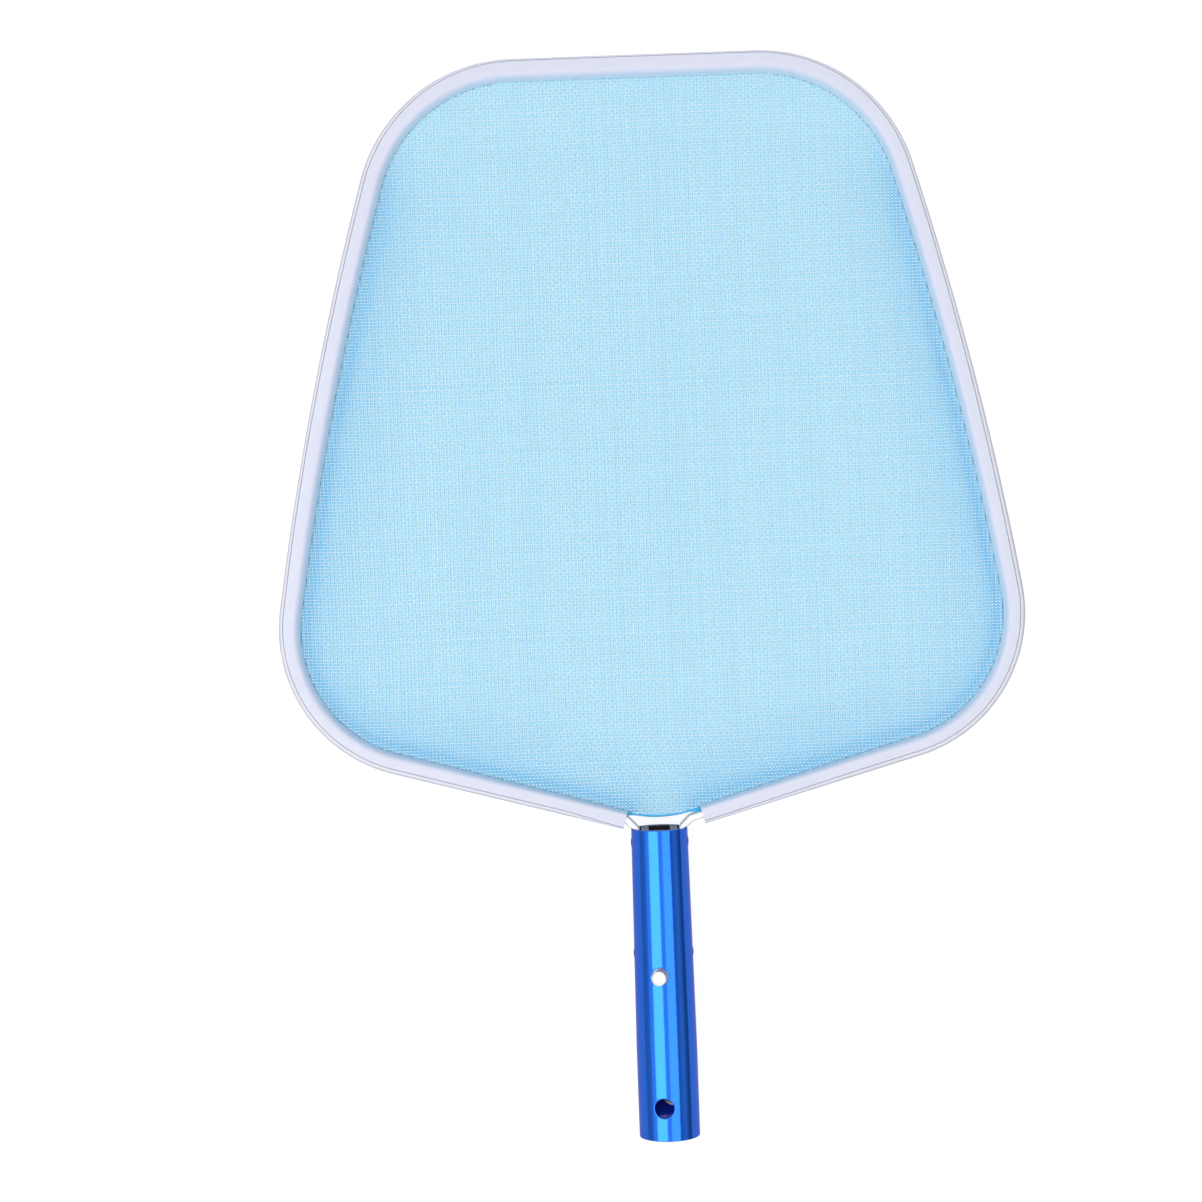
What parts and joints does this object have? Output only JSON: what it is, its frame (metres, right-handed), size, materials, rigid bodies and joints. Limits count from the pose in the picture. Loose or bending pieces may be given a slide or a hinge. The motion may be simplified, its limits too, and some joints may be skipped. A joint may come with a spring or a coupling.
{
  "type": "leaf skimmer net",
  "caption": "Flat leaf skimmer net: mesh in a white-edged bent-bar frame on a blue tube that plugs into a pole and locks with sprung snap buttons.",
  "frame": {"origin": "centre of the handle tube's open end, on the tube's axis", "axes": "+Y along the tube towards the net, +Z out of the net's upper side, +X across the net"},
  "size_m": [0.3478, 0.504, 0.0368],
  "materials": {
    "blue_anodised_tube": "drawn tube, bright blue anodised",
    "bar_aluminium": "extruded flat bar, mill finish",
    "channel_pvc": "extruded flexible PVC, smooth",
    "bumper_pvc": "extruded flexible PVC, smooth",
    "net_mesh": "plain-woven fine polyester mesh",
    "hem_binding": "rolled and stitched polyester",
    "plug_casting": "die cast, as cast",
    "rivet_aluminium": "blind rivet, lacquered blue",
    "spring_steel": "rolled stainless spring strip",
    "button_metal": "turned and nickel plated"
  },
  "bodies": {
    "root": {"handle_tube": "blue_anodised_tube", "frame_bar": "bar_aluminium", "edge_channel": "channel_pvc", "bumper_strip": "bumper_pvc", "net": "net_mesh", "net_hem": "hem_binding", "neck_plug": "plug_casting", "rivets": "rivet_aluminium", "clip_bend": "spring_steel"},
    "front_arm": {"clip_arm_front": "spring_steel", "button_front": "button_metal"},
    "rear_arm": {"clip_arm_rear": "spring_steel", "button_rear": "button_metal"}
  },
  "joints": [
    {"name": "front_button_press", "type": "hinge", "parent": "root", "child": "front_arm", "pos_m": [-0.00139, 0.03195, 0.00788], "axis": [-0.9848, 0, -0.1736], "range_deg": [0, 6.5], "stiffness_Nm_per_rad": 2.5, "springref_deg": -3.44},
    {"name": "rear_button_press", "type": "hinge", "parent": "root", "child": "rear_arm", "pos_m": [0.00139, 0.03195, -0.00788], "axis": [0.9848, 0, 0.1736], "range_deg": [0, 6.5], "stiffness_Nm_per_rad": 2.5, "springref_deg": -3.44}
  ]
}
